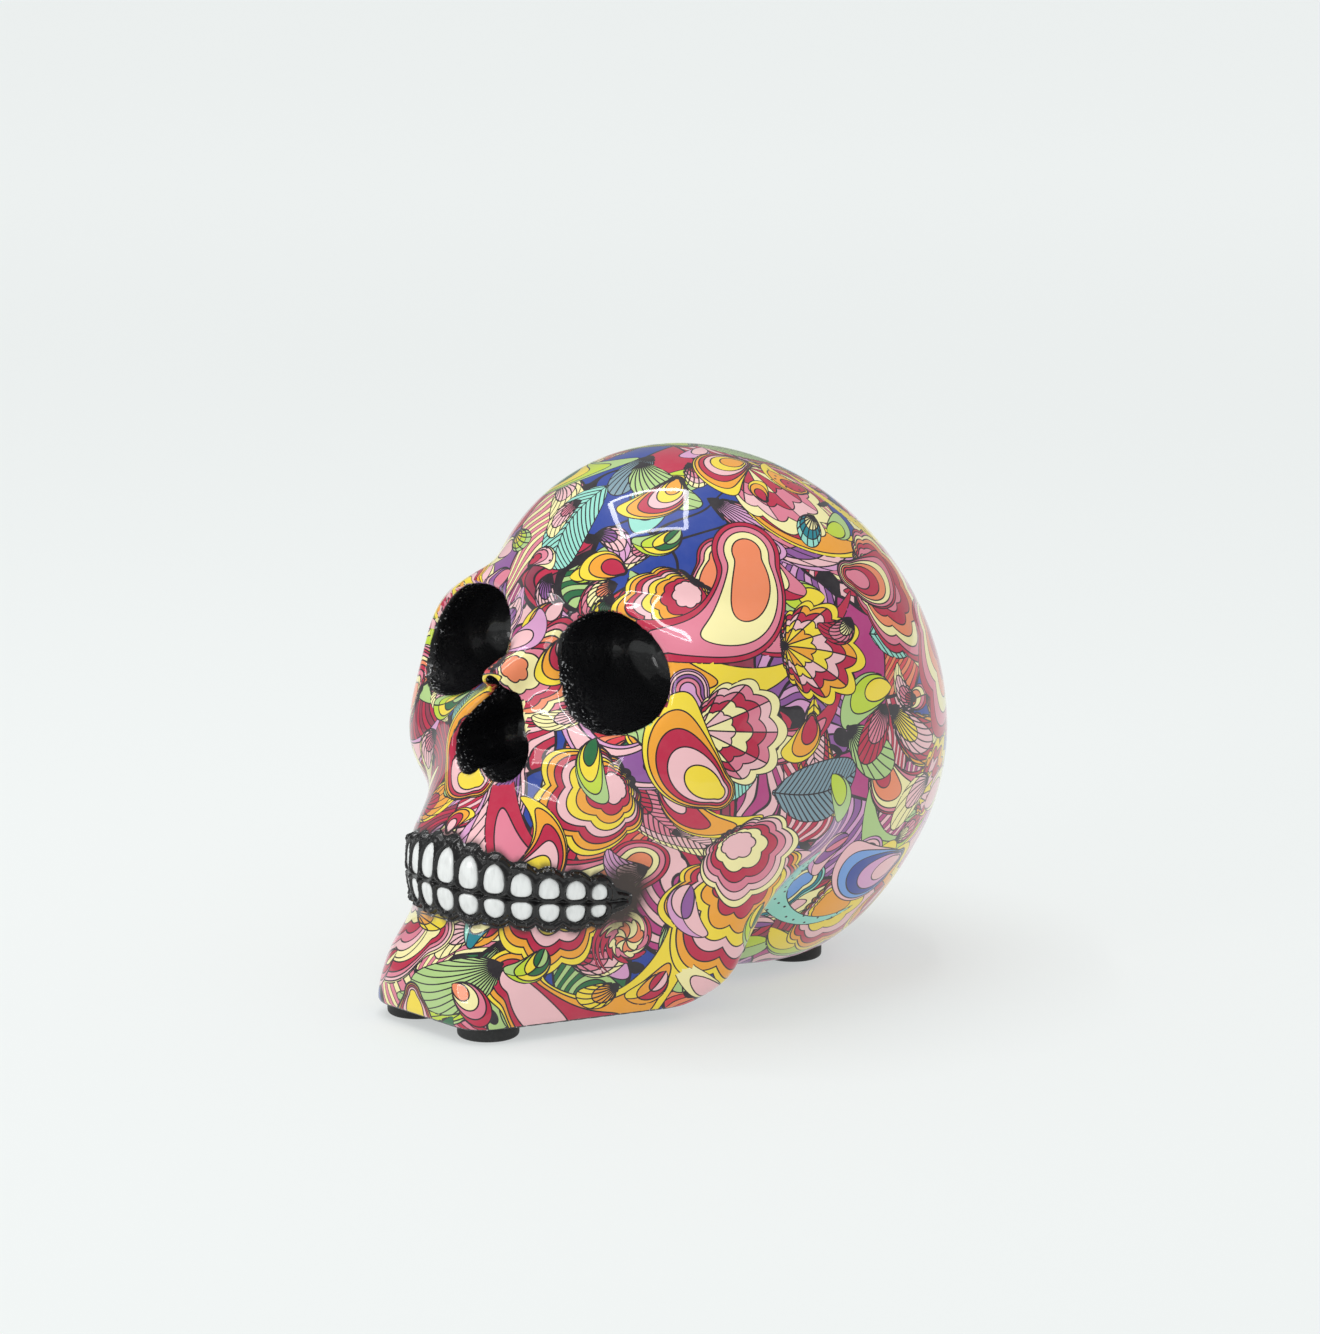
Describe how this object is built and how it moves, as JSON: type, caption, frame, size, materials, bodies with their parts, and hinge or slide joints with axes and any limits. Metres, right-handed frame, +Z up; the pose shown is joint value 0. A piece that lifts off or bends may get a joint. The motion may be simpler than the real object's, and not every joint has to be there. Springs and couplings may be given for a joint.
{
  "type": "resin skull",
  "caption": "Life-like decorative skull figure in glossy printed resin that stands on small rubber feet, for shelves and seasonal displays.",
  "frame": {"origin": "on the table, under the middle of the skull's outline", "axes": "-Y out of the face, +X to the skull's own left, +Z up"},
  "size_m": [0.1074, 0.147, 0.1242],
  "materials": {
    "printed_resin": "many-coloured printed film under a clear gloss coat, with black painted sockets, nose and mouth band",
    "white_enamel": "white enamel under clear gloss",
    "black_rubber": "matt black rubber"
  },
  "bodies": {
    "root": {"skull_shell": "printed_resin", "upper_tooth_L1": "white_enamel", "upper_tooth_L2": "white_enamel", "upper_tooth_L3": "white_enamel", "upper_tooth_L4": "white_enamel", "upper_tooth_L5": "white_enamel", "upper_tooth_L6": "white_enamel", "upper_tooth_L7": "white_enamel", "upper_tooth_R1": "white_enamel", "upper_tooth_R2": "white_enamel", "upper_tooth_R3": "white_enamel", "upper_tooth_R4": "white_enamel", "upper_tooth_R5": "white_enamel", "upper_tooth_R6": "white_enamel", "upper_tooth_R7": "white_enamel", "lower_tooth_L1": "white_enamel", "lower_tooth_L2": "white_enamel", "lower_tooth_L3": "white_enamel", "lower_tooth_L4": "white_enamel", "lower_tooth_L5": "white_enamel", "lower_tooth_L6": "white_enamel", "lower_tooth_L7": "white_enamel", "lower_tooth_R1": "white_enamel", "lower_tooth_R2": "white_enamel", "lower_tooth_R3": "white_enamel", "lower_tooth_R4": "white_enamel", "lower_tooth_R5": "white_enamel", "lower_tooth_R6": "white_enamel", "lower_tooth_R7": "white_enamel", "front_foot_left": "black_rubber", "rear_foot_left": "black_rubber", "front_foot_right": "black_rubber", "rear_foot_right": "black_rubber"}
  },
  "joints": []
}
